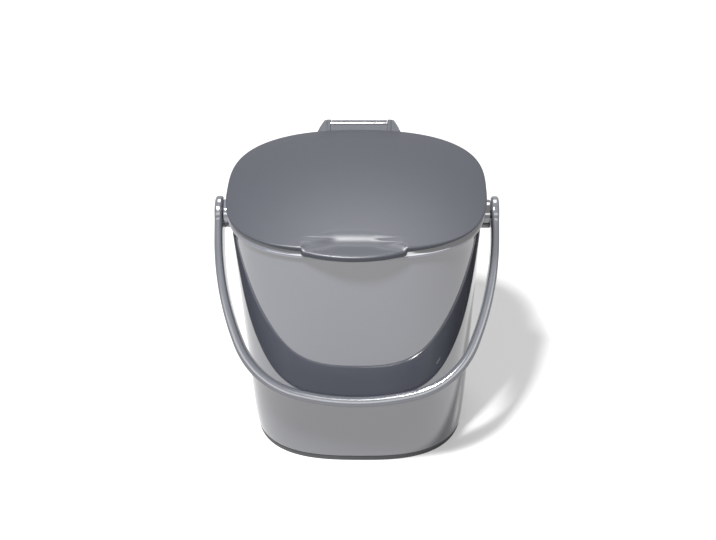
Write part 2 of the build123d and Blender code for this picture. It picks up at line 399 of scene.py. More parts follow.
def plan_sweep_tree() -> bpy.types.NodeTree:
    """Geometry tree: carries a profile round the rounded-square plan.

    Each vertex of the profile line holds half width, half depth and height in its position.

    Returns:
        The node group.
    """
    nodes, takes, out = new_tree(
        "plan sweep",
        "GeometryNodeTree",
        {
            "Profile": "NodeSocketGeometry",
            "Exponent": "NodeSocketFloat",
            "Steps": "NodeSocketInt",
            "Material": "NodeSocketMaterial",
        },
        {"Geometry": "NodeSocketGeometry"},
    )
    size = nodes.add("GeometryNodeAttributeDomainSize", {"Geometry": takes["Profile"]})
    rows = nodes.math("SUBTRACT", size.outputs["Point Count"], 1.0)
    columns = nodes.math("ADD", takes["Steps"], 1.0)
    grid = nodes.add(
        "GeometryNodeMeshGrid",
        {"Size X": rows, "Size Y": takes["Steps"], "Vertices X": size.outputs["Point Count"], "Vertices Y": columns},
    )
    place = nodes.add("ShaderNodeSeparateXYZ", {0: nodes.add("GeometryNodeInputPosition").outputs[0]})
    row = nodes.math("ROUND", nodes.math("ADD", place.outputs["X"], nodes.math("MULTIPLY", rows, 0.5)))
    column = nodes.math("ADD", place.outputs["Y"], nodes.math("MULTIPLY", takes["Steps"], 0.5))
    turn = nodes.math("MULTIPLY", nodes.math("DIVIDE", column, takes["Steps"]), 2 * math.pi)
    sample = nodes.add(
        "GeometryNodeSampleIndex",
        {"Geometry": takes["Profile"], "Index": row},
        data_type="FLOAT_VECTOR",
    )
    nodes.feed(sample.inputs["Value"], nodes.add("GeometryNodeInputPosition").outputs[0])
    level = nodes.add("ShaderNodeSeparateXYZ", {0: sample.outputs[0]})
    shares = []
    for wave, half_size in (("COSINE", level.outputs["X"]), ("SINE", level.outputs["Y"])):
        ratio = nodes.math("ABSOLUTE", nodes.math("DIVIDE", nodes.math(wave, turn), half_size))
        shares.append(nodes.math("POWER", ratio, takes["Exponent"]))
    root = nodes.math("DIVIDE", -1.0, takes["Exponent"])
    reach = nodes.math("POWER", nodes.math("ADD", *shares), root)
    spot = nodes.add(
        "ShaderNodeCombineXYZ",
        {
            "X": nodes.math("MULTIPLY", reach, nodes.math("COSINE", turn)),
            "Y": nodes.math("MULTIPLY", reach, nodes.math("SINE", turn)),
            "Z": level.outputs["Z"],
        },
    )
    moved = nodes.add("GeometryNodeSetPosition", {"Geometry": grid.outputs["Mesh"], "Position": spot.outputs[0]})
    merged = nodes.add("GeometryNodeMergeByDistance", {"Geometry": moved.outputs[0], "Distance": 2e-6})
    real = nodes.add("GeometryNodeRealizeInstances", {"Geometry": merged.outputs[0]})
    painted = nodes.add("GeometryNodeSetMaterial", {"Geometry": real.outputs[0], "Material": takes["Material"]})
    nodes.feed(out.inputs[0], painted.outputs[0])
    return nodes.tree


def row_tree() -> bpy.types.NodeTree:
    """Geometry tree: repeats the object's own mesh along X at an even spacing.

    Returns:
        The node group.
    """
    nodes, takes, out = new_tree(
        "row of ribs",
        "GeometryNodeTree",
        {
            "Geometry": "NodeSocketGeometry",
            "Count": "NodeSocketInt",
            "Spacing": "NodeSocketFloat",
            "Material": "NodeSocketMaterial",
        },
        {"Geometry": "NodeSocketGeometry"},
    )
    gaps = nodes.math("SUBTRACT", takes["Count"], 1.0)
    first = nodes.math("MULTIPLY", nodes.math("MULTIPLY", gaps, takes["Spacing"]), -0.5)
    line = nodes.add(
        "GeometryNodeMeshLine",
        {
            "Count": takes["Count"],
            "Start Location": nodes.add("ShaderNodeCombineXYZ", {"X": first}).outputs[0],
            "Offset": nodes.add("ShaderNodeCombineXYZ", {"X": takes["Spacing"]}).outputs[0],
        },
    )
    copies = nodes.add("GeometryNodeInstanceOnPoints", {"Points": line.outputs[0], "Instance": takes["Geometry"]})
    real = nodes.add("GeometryNodeRealizeInstances", {"Geometry": copies.outputs[0]})
    painted = nodes.add("GeometryNodeSetMaterial", {"Geometry": real.outputs[0], "Material": takes["Material"]})
    nodes.feed(out.inputs[0], painted.outputs[0])
    return nodes.tree


def bow_sweep_tree() -> bpy.types.NodeTree:
    """Geometry tree: carries a rounded strap section along the handle's line and leans the result.

    The line is the strap's outer edge, drawn in the XY plane with +Y towards the pivots. The strap's inner
    side is lifted along +Y, so that the strap is thicker at the grip than beside the pivots.

    Returns:
        The node group.
    """
    nodes, takes, out = new_tree(
        "bow sweep",
        "GeometryNodeTree",
        {
            "Line": "NodeSocketGeometry",
            "Depth": "NodeSocketFloat",
            "Thickness": "NodeSocketFloat",
            "Grip Lift": "NodeSocketFloat",
            "Edge Radius": "NodeSocketFloat",
            "Pivot Height": "NodeSocketFloat",
            "Lean": "NodeSocketFloat",
            "Material": "NodeSocketMaterial",
        },
        {"Geometry": "NodeSocketGeometry"},
    )
    line = nodes.add("GeometryNodeMeshToCurve", {"Mesh": takes["Line"]})
    upright = nodes.add("GeometryNodeSetCurveNormal", {"Curve": line.outputs[0]}, mode="Z_UP")
    section = nodes.add("GeometryNodeCurvePrimitiveQuadrilateral", {0: takes["Thickness"], 1: takes["Depth"]})
    rounded = nodes.add(
        "GeometryNodeFilletCurve",
        {"Curve": section.outputs[0], "Radius": takes["Edge Radius"], "Count": 8},
        mode="POLY",
    )
    across = nodes.add("ShaderNodeSeparateXYZ", {0: nodes.add("GeometryNodeInputPosition").outputs[0]}).outputs["X"]
    share = nodes.math("ADD", nodes.math("DIVIDE", across, takes["Thickness"]), 0.5)
    marked = nodes.add(
        "GeometryNodeStoreNamedAttribute",
        {"Geometry": rounded.outputs[0], "Name": "inner_share", "Value": share},
        data_type="FLOAT",
        domain="POINT",
    )
    half = nodes.add("ShaderNodeCombineXYZ", {"X": nodes.math("MULTIPLY", takes["Thickness"], 0.5)})
    anchored = nodes.add("GeometryNodeTransform", {"Geometry": marked.outputs[0], "Translation": half.outputs[0]})
    swept = nodes.add(
        "GeometryNodeCurveToMesh",
        {"Curve": upright.outputs[0], "Profile Curve": anchored.outputs[0], "Fill Caps": True},
    )
    inner = nodes.add("GeometryNodeInputNamedAttribute", {"Name": "inner_share"}, data_type="FLOAT")
    lift = nodes.math("MULTIPLY", inner.outputs[0], takes["Grip Lift"])
    lifted = nodes.add(
        "GeometryNodeSetPosition",
        {"Geometry": swept.outputs[0], "Offset": nodes.add("ShaderNodeCombineXYZ", {"Y": lift}).outputs[0]},
    )
    spin = nodes.add("ShaderNodeCombineXYZ", {"X": nodes.math("SUBTRACT", math.pi / 2, takes["Lean"])})
    height = nodes.add("ShaderNodeCombineXYZ", {"Z": takes["Pivot Height"]})
    turn = nodes.add("FunctionNodeEulerToRotation", {0: spin.outputs[0]})
    leaned = nodes.add(
        "GeometryNodeTransform",
        {"Geometry": lifted.outputs[0], "Translation": height.outputs[0], "Rotation": turn.outputs[0]},
    )
    real = nodes.add("GeometryNodeRealizeInstances", {"Geometry": leaned.outputs[0]})
    painted = nodes.add("GeometryNodeSetMaterial", {"Geometry": real.outputs[0], "Material": takes["Material"]})
    nodes.feed(out.inputs[0], painted.outputs[0])
    return nodes.tree


# ---------------------------------------------------------------------------------------------------------
# Finishes
# ---------------------------------------------------------------------------------------------------------


class Effects:
    """Shader node groups that more than one finish uses."""

    def __init__(self) -> None:
        """Builds each group once."""
        self.grain = self._grain()
        self.drift = self._drift()
        self.scuffs = self._scuffs()

    @staticmethod
    def _grain() -> bpy.types.NodeTree:
        """Fine moulded texture: a height for bump and a mask for roughness."""
        nodes, takes, out = new_tree(
            "moulded grain",
            "ShaderNodeTree",
            {"Vector": "NodeSocketVector", "Scale": "NodeSocketFloat"},
            {"Height": "NodeSocketFloat", "Mask": "NodeSocketFloat"},
        )
        coarse = nodes.math("MULTIPLY", takes["Scale"], 0.31)
        fine = nodes.add("ShaderNodeTexNoise", {"Vector": takes["Vector"], "Scale": takes["Scale"], "Detail": 3.0})
        broad = nodes.add("ShaderNodeTexNoise", {"Vector": takes["Vector"], "Scale": coarse, "Detail": 2.0})
        mixed = nodes.math("MULTIPLY_ADD", broad.outputs[0], 0.4, nodes.math("MULTIPLY", fine.outputs[0], 0.6))
        nodes.feed(out.inputs["Height"], mixed)
        nodes.feed(out.inputs["Mask"], broad.outputs[0])
        return nodes.tree

    @staticmethod
    def _drift() -> bpy.types.NodeTree:
        """Slow change of a colour over the moulding, as the melt leaves it."""
        nodes, takes, out = new_tree(
            "colour drift",
            "ShaderNodeTree",
            {
                "Vector": "NodeSocketVector",
                "Scale": "NodeSocketFloat",
                "Light": "NodeSocketColor",
                "Dark": "NodeSocketColor",
            },
            {"Color": "NodeSocketColor"},
        )
        cloud = nodes.add(
            "ShaderNodeTexNoise",
            {"Vector": takes["Vector"], "Scale": takes["Scale"], "Detail": 4.0, "Roughness": 0.6},
        )
        mix = nodes.add("ShaderNodeMix", {0: cloud.outputs[0]}, data_type="RGBA")
        nodes.feed(mix.inputs[6], takes["Dark"])
        nodes.feed(mix.inputs[7], takes["Light"])
        nodes.feed(out.inputs["Color"], mix.outputs[2])
        return nodes.tree

    @staticmethod
    def _scuffs() -> bpy.types.NodeTree:
        """Faint rubbed streaks from wiping and handling, as a mask."""
        nodes, takes, out = new_tree(
            "wiping scuffs",
            "ShaderNodeTree",
            {"Vector": "NodeSocketVector", "Scale": "NodeSocketFloat", "Amount": "NodeSocketFloat"},
            {"Mask": "NodeSocketFloat"},
        )
        streaks = []
        for turn, stretch in ((0.4, 11.0), (-0.9, 15.0)):
            mapped = nodes.add("ShaderNodeMapping", {"Vector": takes["Vector"]})
            mapped.inputs["Rotation"].default_value = (turn * 0.5, turn * 0.3, turn)
            mapped.inputs["Scale"].default_value = (1.0, stretch, stretch * 0.7)
            noise = nodes.add(
                "ShaderNodeTexNoise",
                {"Vector": mapped.outputs[0], "Scale": takes["Scale"], "Detail": 5.0, "Roughness": 0.65},
            )
            ramp = nodes.add("ShaderNodeMapRange", {"Value": noise.outputs[0], "From Min": 0.6, "From Max": 0.78})
            streaks.append(ramp.outputs[0])
        most = nodes.math("MAXIMUM", *streaks)
        nodes.feed(out.inputs["Mask"], nodes.math("MULTIPLY", most, takes["Amount"]))
        return nodes.tree


@dataclass(frozen=True)
class Finish:
    """One surface finish with its procedural detail.

    Colours are linear. Scales count features per metre, and depths are millimetres.
    """

    name: str
    light: tuple[float, float, float]
    dark: tuple[float, float, float]
    smooth: float
    rough: float
    ior: float = 1.5
    metallic: float = 0.0
    grain_scale: float = 900.0
    grain_depth: float = 0.01
    drift_scale: float = 9.0
    scuff_scale: float = 40.0
    scuff_amount: float = 0.3
    stretch: Point3 = (1.0, 1.0, 1.0)

    def build(self, effects: Effects) -> bpy.types.Material:
        """Makes the material.

        Args:
            effects: The shared shader groups.

        Returns:
            The material, its patterns on object coordinates.
        """
        material = bpy.data.materials.new(self.name)
        material.use_nodes = True
        material.node_tree.nodes.clear()
        nodes = Nodes(material.node_tree)
        where = nodes.add("ShaderNodeTexCoord").outputs["Object"]
        mapped = nodes.add("ShaderNodeMapping", {"Vector": where})
        mapped.inputs["Scale"].default_value = self.stretch
        vector = mapped.outputs[0]
        drift = self._group(nodes, effects.drift, {"Vector": where, "Scale": self.drift_scale})
        drift.inputs["Light"].default_value = (*self.light, 1.0)
        drift.inputs["Dark"].default_value = (*self.dark, 1.0)
        grain = self._group(nodes, effects.grain, {"Vector": vector, "Scale": self.grain_scale})
        scuffs = self._group(
            nodes, effects.scuffs, {"Vector": where, "Scale": self.scuff_scale, "Amount": self.scuff_amount}
        )
        mask = nodes.math("ADD", nodes.math("MULTIPLY", grain.outputs["Mask"], 0.5), scuffs.outputs["Mask"])
        rough = nodes.add("ShaderNodeMapRange", {"Value": mask, "To Min": self.smooth, "To Max": self.rough})
        bump = nodes.add("ShaderNodeBump", {"Distance": self.grain_depth * MM, "Height": grain.outputs["Height"]})
        shader = nodes.add(
            "ShaderNodeBsdfPrincipled",
            {
                "Base Color": drift.outputs["Color"],
                "Roughness": rough.outputs[0],
                "Metallic": self.metallic,
                "IOR": self.ior,
                "Normal": bump.outputs[0],
            },
        )
        out = nodes.add("ShaderNodeOutputMaterial")
        nodes.feed(out.inputs["Surface"], shader.outputs[0])
        return material

    @staticmethod
    def _group(nodes: Nodes, tree: bpy.types.NodeTree, inputs: dict) -> bpy.types.Node:
        """Places a shared group in the material."""
        node = nodes.add("ShaderNodeGroup", node_tree=tree)
        for key, value in inputs.items():
            nodes.feed(node.inputs[key], value)
        return node


class FinishName(Enum):
    """The part's finishes, by the record's material slots."""

    BUCKET = "bucket_plastic"
    BAIL = "bail_plastic"
    LID = "lid_plastic"
    LINER = "liner_plastic"
    FOOT = "foot_rubber"
    SEAL = "seal_rubber"
    ROD = "rod_steel"


FINISHES = {
    FinishName.BUCKET: Finish(
        "glossy_charcoal_bucket",
        light=(0.040, 0.042, 0.053),
        dark=(0.037, 0.039, 0.049),
        smooth=0.04,
        rough=0.09,
        ior=2.25,
        grain_scale=260.0,
        grain_depth=0.004,
    ),
    FinishName.BAIL: Finish(
        "glossy_charcoal_handle",
        light=(0.036, 0.038, 0.045),
        dark=(0.033, 0.035, 0.041),
        smooth=0.12,
        rough=0.24,
        ior=1.8,
        grain_scale=320.0,
        grain_depth=0.005,
    ),
    FinishName.LID: Finish(
        "satin_charcoal_lid",
        light=(0.0120, 0.0133, 0.0180),
        dark=(0.0112, 0.0123, 0.0168),
        smooth=0.42,
        rough=0.52,
        ior=1.40,
        grain_scale=1500.0,
        grain_depth=0.012,
    ),
    FinishName.LINER: Finish(
        "matt_liner",
        light=(0.052, 0.054, 0.061),
        dark=(0.046, 0.048, 0.055),
        smooth=0.4,
        rough=0.55,
        grain_scale=700.0,
    ),
    FinishName.FOOT: Finish(
        "soft_foot",
        light=(0.027, 0.028, 0.030),
        dark=(0.022, 0.023, 0.025),
        smooth=0.55,
        rough=0.75,
        grain_scale=1400.0,
        grain_depth=0.03,
    ),
    FinishName.SEAL: Finish(
        "soft_seal",
        light=(0.125, 0.125, 0.122),
        dark=(0.105, 0.105, 0.103),
        smooth=0.5,
        rough=0.65,
        grain_scale=1200.0,
    ),
    FinishName.ROD: Finish(
        "satin_steel_rod",
        light=(0.17, 0.17, 0.175),
        dark=(0.145, 0.145, 0.15),
        smooth=0.24,
        rough=0.40,
        metallic=1.0,
        grain_scale=2200.0,
        grain_depth=0.01,
        stretch=(0.05, 1.0, 1.0),
    ),
}


class Workshop:
    """Holds the materials and geometry trees, and dresses the finished pieces."""

    def __init__(self) -> None:
        """Builds every shared tree and material once."""
        effects = Effects()
        self.materials = {name: finish.build(effects) for name, finish in FINISHES.items()}
        self.plan_sweep = plan_sweep_tree()
        self.rib_row = row_tree()
        self.bow_sweep = bow_sweep_tree()

    def sweep(self, name: str, profile: list[Point3], finish: FinishName) -> bpy.types.Object:
        """A piece whose profile is carried round the plan.

        Args:
            name: Name of the piece.
            profile: Half width, half depth and height of each level, in millimetres.
            finish: Finish of the piece.

        Returns:
            The baked mesh object.
        """
        mesh = bpy.data.meshes.new(name)
        edges = [(step, step + 1) for step in range(len(profile) - 1)]
        mesh.from_pydata([tuple(value * MM for value in level) for level in profile], edges, [])
        piece = bpy.data.objects.new(name, mesh)
        bpy.context.scene.collection.objects.link(piece)
        values = {"Exponent": PLAN.exponent, "Steps": PLAN.steps, "Material": self.materials[finish]}
        run_geometry(piece, self.plan_sweep, values)
        clean_mesh(piece)
        return piece

    def dress(self, piece: bpy.types.Object, finish: FinishName, body: str, *nodes: str) -> bpy.types.Object:
        """Gives a piece its finish and its body, and lets it stand for CAD nodes.

        Args:
            piece: The finished mesh object.
            finish: Its finish, whose name is the record's slot.
            body: CAD body that it rides on.
            *nodes: CAD nodes that it replaces.

        Returns:
            The same object.
        """
        piece.data.materials.clear()
        piece.data.materials.append(self.materials[finish])
        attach(piece, body)
        if nodes:
            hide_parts(*nodes)
        LOG.info("%s: %d faces on %s", piece.name, len(piece.data.polygons), body)
        return piece


# ---------------------------------------------------------------------------------------------------------
# Sub-assemblies
# ---------------------------------------------------------------------------------------------------------


@dataclass
class Bucket:
    """Tapered bucket with a tucked foot, a beaded rim, pivot bosses and the hinge bracket."""

    mouth: Point2 = (105.1, 92.7)
    base: Point2 = (93.7, 83.6)
    rim_top: float = 224.2
    foot_height: float = 5.0
    wall: float = 2.3
    floor_thickness: float = 4.4
    tuck_height: float = 31.0
    tuck_inset: float = 1.0
    base_edge_radius: float = 1.6
    floor_corner_radius: float = 8.0
    bead_height: float = 6.0
    bead_overhang: float = 2.0
    bead_root_radius: float = 1.0
    bead_upright: float = 2.4
    bead_top_inset: float = 0.9
    bead_raise: float = 0.6
    foot_setback: float = 0.8
    foot_width: float = 7.0
    foot_edge_radius: float = 0.9
    tongue_width: float = 2.4
    tongue_height: float = 2.0
    pivot_height: float = 203.0
    boss_face: float = 111.7
    boss_radius: float = 12.0
    boss_flare: float = 1.6
    stud_radius: float = 4.0
    stud_embed: float = 5.6
    hinge: Point2 = (105.7, 231.2)
    rod_radius: float = 2.0
    running_clearance: float = 0.05
    cradle_wall: float = 1.5
    cradle_half_width: float = 24.7
    front_lip: float = -20.0
    rear_lip: float = 110.0
    ribs: int = 4
    rib_thickness: float = 2.6
    rib_drop: float = 26.0
    rib_root: float = 1.2
    rib_edge: float = 0.5

    def half_sizes(self, height: float, inset: float = 0.0) -> Point2:
        """Half width and half depth of the outer wall.

        Args:
            height: Height above the table.
            inset: How far inside the outer wall.

        Returns:
            The two half sizes.
        """
        share = (height - self.foot_height) / (self.rim_top - self.foot_height)
        below = max(0.0, 1 - (height - self.foot_height) / self.tuck_height)
        drawn_in = inset + self.tuck_inset * below**2
        return (
            blend(self.base[0], self.mouth[0], share) - drawn_in,
            blend(self.base[1], self.mouth[1], share) - drawn_in,
        )

    def level(self, height: float, inset: float = 0.0) -> Point3:
        """One level of a profile along the outer wall."""
        return (*self.half_sizes(height, inset), height)

    def shell_profile(self) -> list[Point3]:
        """Levels from the middle of the underside, up the outside, over the rim and down to the inner floor.

        Returns:
            Half width, half depth and height of each level.
        """
        foot, top = self.foot_height, self.rim_top
        bead_bottom = top - self.bead_height
        floor_top = foot + self.floor_thickness
        groove = self.foot_setback + (self.foot_width - self.tongue_width) / 2
        path = rounded_path(
            [
                ((groove + self.tongue_width + 20.0, foot), 0.0),
                ((groove + self.tongue_width, foot), 0.0),
                ((groove + self.tongue_width, foot + self.tongue_height), 0.0),
                ((groove, foot + self.tongue_height), 0.0),
                ((groove, foot), 0.0),
                ((0.0, foot), self.base_edge_radius),
                ((0.0, foot + self.tuck_height), 0.0),
            ],
            7,
            3,
        )
        levels = [self.pole(foot)] + [self.level(height, inset) for inset, height in path]
        levels += [self.level(height) for height in spread(foot + self.tuck_height, bead_bottom - 6, 30)[1:]]
        outside = rounded_path(
            [
                ((0.0, bead_bottom - 6), 0.0),
                ((0.0, bead_bottom), self.bead_root_radius),
                ((-self.bead_overhang, bead_bottom), self.bead_overhang * 0.8),
                ((-self.bead_overhang, bead_bottom + self.bead_upright), 3.0),
                ((self.bead_top_inset, top + self.bead_raise), 0.5),
                ((self.wall, top + self.bead_raise), 0.7),
                ((self.wall, top - 8), 0.0),
            ],
            7,
            2,
        )
        rim_sizes = self.half_sizes(top)
        for inset, height in outside[1:]:
            share = ease((height - (bead_bottom - 6)) / 6)
            sizes = self.half_sizes(height, inset)
            upright = tuple(blend(sizes[axis], rim_sizes[axis] - inset, share) for axis in (0, 1))
            levels.append((*upright, height))
        inner_foot = floor_top + self.floor_corner_radius
        levels += [self.level(height, self.wall) for height in spread(top - 8, inner_foot, 24)[1:]]
        for turn in spread(0, math.pi / 2, 12)[1:]:
            drop = self.floor_corner_radius * math.sin(turn)
            inset = self.wall + self.floor_corner_radius * (1 - math.cos(turn))
            width, depth, _ = self.level(inner_foot, inset)
            levels.append((width, depth, inner_foot - drop))
        levels.append(self.pole(floor_top))
        return levels

    @staticmethod
    def pole(height: float) -> Point3:
        """A level so small that its points merge into one."""
        return (5e-4, 5e-4, height)

    def boss(self, side: int) -> bpy.types.Object:
        """The round boss on one side, flared where it leaves the wall.

        Args:
            side: 1 for the right, -1 for the left.

        Returns:
            The closed solid, with the blind bore for its stud.
        """
        root = self.half_sizes(self.pivot_height)[0] - self.wall / 2
        reach = self.boss_face - root
        bore_floor = reach - self.stud_embed
        profile = rounded_path(
            [
                ((0.0, 0.0), 0.0),
                ((0.0, self.boss_radius + 2 * self.boss_flare), 0.0),
                ((1.6, self.boss_radius), self.boss_flare),
                ((reach, self.boss_radius), 0.8),
                ((reach, self.stud_radius), 0.2),
                ((bore_floor, self.stud_radius), 0.1),
                ((bore_floor, 0.0), 0.0),
            ],
            6,
            2,
        )
        return turned("boss", profile, (side * root, 0.0, self.pivot_height), side)

    def cradle(self) -> bpy.types.Object:
        """The snap cradle that holds the hinge rod, open towards the top and front."""
        inner = self.rod_radius + self.running_clearance
        outer = inner + self.cradle_wall
        middle = (inner + outer) / 2
        tip = self.cradle_wall / 2
        first, last = math.radians(self.rear_lip), math.radians(self.front_lip + 360)
        ring: list[Point2] = []
        for radius, start, end, steps in ((outer, first, last, 41), (None, last, None, 7)):
            if radius:
                ring += [(radius * math.cos(turn), radius * math.sin(turn)) for turn in spread(start, end, steps)]
                continue
            for turn in spread(0, math.pi, steps)[1:-1]:
                reach, along = tip * math.cos(turn), tip * math.sin(turn)
                ring.append(self._lip(middle + reach, last, along))
        ring += [(inner * math.cos(turn), inner * math.sin(turn)) for turn in spread(last, first, 41)]
        for turn in spread(math.pi, 0, 7)[1:-1]:
            reach, along = tip * math.cos(turn), tip * math.sin(turn)
            ring.append(self._lip(middle + reach, first, -along))
        half = self.cradle_half_width
        sections = [
            [(across, self.hinge[0] - ahead, self.hinge[1] + up) for ahead, up in ring] for across in (-half, half)
        ]
        return tube_between("cradle", sections)

    @staticmethod
    def _lip(reach: float, turn: float, along: float) -> Point2:
        """A point of a lip's round tip, past the end of the ring by a distance."""
        return (
            reach * math.cos(turn) - along * math.sin(turn),
            reach * math.sin(turn) + along * math.cos(turn),
        )

    def rib(self) -> bpy.types.Object:
        """One upright rib under the cradle, across the middle plane."""
        hinge_y, hinge_z = self.hinge
        radius = self.rod_radius + self.running_clearance + self.cradle_wall
        foot, root = self.rim_top - self.rib_drop, self.rim_top - self.rib_root
        outline = [
            (self.half_sizes(foot)[1] - self.wall / 2, foot),
            (self.half_sizes(root)[1] - self.wall / 2, root),
            (self.mouth[1] + 2.8 + self.bead_overhang, root),
            (hinge_y - radius * 0.5, hinge_z - radius * 0.87),
            (hinge_y + radius - self.cradle_wall / 2, hinge_z - 0.6),
            (hinge_y + self.cradle_wall, hinge_z - 2 * radius),
        ]
        half = self.rib_thickness / 2
        rib = tube_between("rib", [[(across, y, z) for y, z in outline] for across in (-half, half)])
        form = bmesh.new()
        form.from_mesh(rib.data)
        edges = [edge for edge in form.edges if edge.calc_face_angle(0) > math.radians(60)]
        bmesh.ops.bevel(
            form, geom=edges, offset=self.rib_edge * MM, segments=2, affect="EDGES", clamp_overlap=True
        )
        form.to_mesh(rib.data)
        form.free()
        clean_mesh(rib)
        return rib

    def foot_profile(self) -> list[Point3]:
        """Closed section of the soft foot ring, with its tongue."""
        top = self.foot_height
        inner = self.foot_setback + self.foot_width
        groove = self.foot_setback + (self.foot_width - self.tongue_width) / 2
        path = rounded_path(
            [
                ((inner, top / 2), 0.0),
                ((inner, 0.0), self.foot_edge_radius),
                ((self.foot_setback, 0.0), self.foot_edge_radius),
                ((self.foot_setback, top), 0.4),
                ((groove, top), 0.0),
                ((groove, top + self.tongue_height), 0.3),
                ((groove + self.tongue_width, top + self.tongue_height), 0.3),
                ((groove + self.tongue_width, top), 0.0),
                ((inner, top), 0.2),
                ((inner, top / 2), 0.0),
            ],
            5,
            2,
        )
        sizes = self.half_sizes(top)
        return [(sizes[0] - inset, sizes[1] - inset, height) for inset, height in path]

    def build(self, shop: Workshop) -> None:
        """Makes and dresses the bucket's pieces."""
        shell = shop.sweep("bucket_shell", self.shell_profile(), FinishName.BUCKET)
        whole = join("bucket_shell", [shell, self.boss(1), self.boss(-1), self.cradle()])
        shop.dress(whole, FinishName.BUCKET, "bucket", "bucket")
        ribs = self.rib()
        ribs.name = "hinge_bracket_ribs"
        spacing = (2 * self.cradle_half_width - self.rib_thickness) / (self.ribs - 1)
        values = {"Count": self.ribs, "Spacing": spacing * MM, "Material": shop.materials[FinishName.BUCKET]}
        run_geometry(ribs, shop.rib_row, values)
        clean_mesh(ribs)
        shop.dress(ribs, FinishName.BUCKET, "bucket")
        foot = shop.sweep("foot_ring_soft", self.foot_profile(), FinishName.FOOT)
        shop.dress(foot, FinishName.FOOT, "bucket", "foot_ring")


@dataclass
class Studs:
    """Headed pins on which the handle's ears turn."""

    centre_height: float = 203.0
    head_face: float = 118.7
    head_radius: float = 7.6
    head_thickness: float = 2.4
    head_edge: float = 0.6
    shank_radius: float = 4.0
    shank_end: float = 106.1
    dimple_radius: float = 2.2
    dimple_depth: float = 0.35

    def build(self, shop: Workshop) -> None:
        """Makes and dresses both studs."""
        length = self.head_face - self.shank_end
        shoulder = length - self.head_thickness
        profile = rounded_path(
            [
                ((0.0, 0.0), 0.0),
                ((0.0, self.shank_radius), 0.4),
                ((shoulder, self.shank_radius), 0.1),
                ((shoulder, self.head_radius), 0.2),
                ((length, self.head_radius), self.head_edge),
                ((length, self.dimple_radius), 0.3),
                ((length - self.dimple_depth, self.dimple_radius * 0.7), 0.3),
                ((length - self.dimple_depth, 0.0), 0.0),
            ],
            5,
            1,
        )
        for side, word in ((1, "right"), (-1, "left")):
            stud = turned("stud_" + word, profile, (side * self.shank_end, 0.0, self.centre_height), side, 48)
            shop.dress(stud, FinishName.BAIL, "bucket", "bail_stud_" + word)


@dataclass
class Handle:
    """Bowed strap between two round ears, leaning on the front of the bucket."""

    half_width: float = 118.9
    side_thickness: float = 6.8
    grip_thickness: float = 9.0
    depth: float = 28.0
    straight: float = 21.0
    side_radius: float = 246.0
    side_turn: float = 21.8
    corner_radius: float = 73.8
    corner_turn: float = 54.2
    edge_radius: float = 3.0
    lean: float = 38.892
    pivot_height: float = 203.0
    ear_radius: float = 15.0
    ear_edge: float = 2.4
    stud_radius: float = 4.05
    head_recess_radius: float = 7.8
    head_recess_depth: float = 2.8

    def half_line(self) -> list[Point2]:
        """The strap's outer edge from the right pivot to the middle of the grip."""
        place = Vector((self.half_width, -self.straight))
        line = [(self.half_width, -self.straight * share) for share in spread(0, 1, 8)]
        heading = 0.0
        middle_turn = 90 - self.side_turn - self.corner_turn
        radii = [(self.side_radius, self.side_turn, 26), (self.corner_radius, self.corner_turn, 36)]
        for radius, turn, steps in radii + [(None, middle_turn, 26)]:
            start = math.radians(heading)
            if radius is None:
                radius = place.x / math.cos(start)
            centre = place - Vector((math.cos(start), -math.sin(start))) * radius
            for share in spread(0, 1, steps)[1:]:
                angle = start + math.radians(turn) * share
                line.append((centre.x + radius * math.cos(angle), centre.y - radius * math.sin(angle)))
            place = Vector(line[-1])
            heading += turn
        return line

    def ear(self, side: int) -> bpy.types.Object:
        """The round ear on one side, without its bores."""
        inner = self.half_width - self.side_thickness
        profile = rounded_path(
            [
                ((0.0, 0.0), 0.0),
                ((0.0, self.ear_radius), self.ear_edge),
                ((self.side_thickness, self.ear_radius), self.ear_edge),
                ((self.side_thickness, 0.0), 0.0),
            ],
            8,
            3,
        )
        return turned("ear", profile, (side * inner, 0.0, self.pivot_height), side, 96)

    def bore(self, side: int) -> bpy.types.Object:
        """The space for one stud: a through bore with a recess for the head."""
        inner = self.half_width - self.side_thickness - 1.0
        recess = self.side_thickness + 1.0 - self.head_recess_depth
        past = self.side_thickness + 2.0
        profile = [
            (0.0, 0.0),
            (0.0, self.stud_radius),
            (recess, self.stud_radius),
            (recess, self.head_recess_radius),
            (past, self.head_recess_radius),
            (past, 0.0),
        ]
        return turned("bore", profile, (side * inner, 0.0, self.pivot_height), side, 64)

    def build(self, shop: Workshop) -> None:
        """Makes and dresses the handle."""
        half = self.half_line()
        line = half + [(-across, down) for across, down in reversed(half[:-1])]
        mesh = bpy.data.meshes.new("bail_strap")
        edges = [(step, step + 1) for step in range(len(line) - 1)]
        mesh.from_pydata([(across * MM, down * MM, 0.0) for across, down in line], edges, [])
        strap = bpy.data.objects.new("bail_strap", mesh)
        bpy.context.scene.collection.objects.link(strap)
        values = {
            "Depth": self.depth * MM,
            "Thickness": self.side_thickness * MM,
            "Grip Lift": (self.grip_thickness - self.side_thickness) * MM,
            "Edge Radius": self.edge_radius * MM,
            "Pivot Height": self.pivot_height * MM,
            "Lean": math.radians(self.lean),
            "Material": shop.materials[FinishName.BAIL],
        }
        run_geometry(strap, shop.bow_sweep, values)
        clean_mesh(strap)
        for side in (-1, 1):
            boolean(strap, self.ear(side), Cut.ADD)
            boolean(strap, self.bore(side), Cut.TAKE_AWAY)
        shop.dress(strap, FinishName.BAIL, "bail", "bail_handle")


